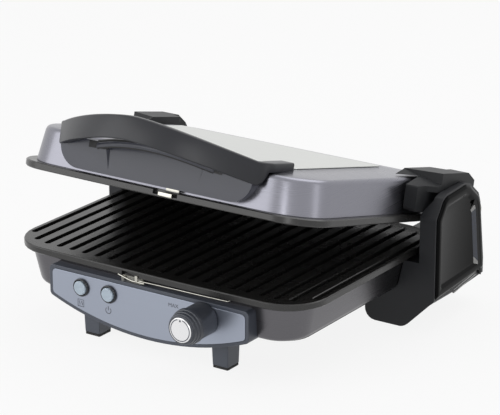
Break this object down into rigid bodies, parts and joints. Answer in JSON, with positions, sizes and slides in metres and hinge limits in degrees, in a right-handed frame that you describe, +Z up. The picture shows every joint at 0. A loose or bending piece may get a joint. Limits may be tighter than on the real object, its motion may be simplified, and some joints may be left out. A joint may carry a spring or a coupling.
{
  "type": "contact grill",
  "caption": "Electric contact grill with ribbed plates, a hinged metal lid carried by side arms in upright towers, a bowed front handle, push buttons and a heat dial.",
  "frame": {"origin": "centre of the footprint of the bounding box with the lid at its rest angle, at table level", "axes": "+X to the right seen from the front, +Y to the hinge side at the rear, +Z up"},
  "size_m": [0.3414, 0.3004, 0.2084],
  "materials": {
    "brushed_tub": "brushed dark silver sheet",
    "brushed_top": "finely brushed lighter sheet",
    "fascia_metal": "satin sheet with a cool tone",
    "nonstick": "die-cast with black non-stick coating",
    "reflector_sheet": "plain bright sheet",
    "element_sheath": "dull heat-marked sheath",
    "spring_steel": "bright bent sheet and wire",
    "black_plastic": "black moulded, fine grain",
    "tower_plastic": "black moulded, satin",
    "cover_gloss": "polished black",
    "grey_plastic": "dark grey moulded, satin",
    "knob_plastic": "dark grey moulded",
    "knob_metal": "bright turned cap",
    "button_plastic": "pale blue-grey",
    "board": "green laminate",
    "ceramic": "cream ceramic",
    "shaft_steel": "bright ground bar",
    "screw_steel": "zinc plated",
    "bush_plastic": "natural bearing plastic",
    "pad_rubber": "soft black"
  },
  "bodies": {
    "base": {"base_shell": "brushed_tub", "bottom_cover": "black_plastic", "lower_plate": "nonstick", "lower_reflector": "reflector_sheet", "lower_element": "element_sheath", "lower_element_clips": "reflector_sheet", "lower_latch_bracket": "spring_steel", "panel_housing": "grey_plastic", "panel_fascia": "fascia_metal", "button_rings": "grey_plastic", "control_board": "board", "push_switches": "black_plastic", "thermostat": "ceramic", "front_foot_left": "grey_plastic", "front_foot_right": "grey_plastic", "rear_feet": "black_plastic", "foot_pads": "pad_rubber", "left_tower": "tower_plastic", "right_tower": "tower_plastic", "left_tower_cover": "cover_gloss", "right_tower_cover": "cover_gloss", "hinge_bushes": "bush_plastic", "rear_cover": "black_plastic", "cord_gland": "pad_rubber", "terminal_block": "ceramic", "base_screws": "screw_steel"},
    "heat_button": {"heat_button": "button_plastic"},
    "power_button": {"power_button": "button_plastic"},
    "knob": {"knob": "knob_plastic", "knob_cap": "knob_metal", "knob_spindle": "shaft_steel"},
    "lower_latch": {"lower_latch": "spring_steel"},
    "arms": {"hinge_shaft": "shaft_steel", "hinge_sleeve": "black_plastic", "left_arm": "black_plastic", "right_arm": "black_plastic", "arm_screws": "screw_steel"},
    "lid": {"lid_shell": "brushed_tub", "lid_top_panel": "brushed_top", "upper_plate": "nonstick", "upper_reflector": "reflector_sheet", "upper_element": "element_sheath", "upper_element_clips": "reflector_sheet", "upper_latch_bracket": "spring_steel", "level_pins": "shaft_steel", "handle_base": "grey_plastic", "handle_ledge": "grey_plastic", "handle_bar": "black_plastic", "handle_screws": "screw_steel", "thermal_fuse": "ceramic"},
    "upper_latch": {"upper_latch": "spring_steel"}
  },
  "joints": [
    {"name": "lid_hinge", "type": "hinge", "parent": "base", "child": "arms", "pos_m": [0, 0.13815, 0.084], "axis": [-1, 0, 0], "range_deg": [-14.1, 90]},
    {"name": "lid_float", "type": "hinge", "parent": "arms", "child": "lid", "pos_m": [0, 0.06571, 0.11333], "axis": [-1, 0, 0], "range_deg": [0, 3]},
    {"name": "knob_turn", "type": "hinge", "parent": "base", "child": "knob", "pos_m": [0.057, -0.11835, 0.046], "axis": [0, 1, 0], "range_deg": [0, 270]},
    {"name": "heat_button_press", "type": "slide", "parent": "base", "child": "heat_button", "axis": [0, 1, 0], "range_m": [0, 0.0018], "stiffness_N_per_m": 450, "springref_m": -0.001},
    {"name": "power_button_press", "type": "slide", "parent": "base", "child": "power_button", "axis": [0, 1, 0], "range_m": [0, 0.0018], "stiffness_N_per_m": 450, "springref_m": -0.001},
    {"name": "lower_latch_turn", "type": "hinge", "parent": "base", "child": "lower_latch", "pos_m": [-0.0185, -0.11125, 0.0612], "axis": [1, 0, 0], "range_deg": [0, 6], "stiffness_Nm_per_rad": 0.02, "springref_deg": -5.73},
    {"name": "upper_latch_turn", "type": "hinge", "parent": "lid", "child": "upper_latch", "pos_m": [0.014, -0.10816, 0.13948], "axis": [-1, 0, 0], "range_deg": [0, 6], "stiffness_Nm_per_rad": 0.02, "springref_deg": -5.73}
  ]
}
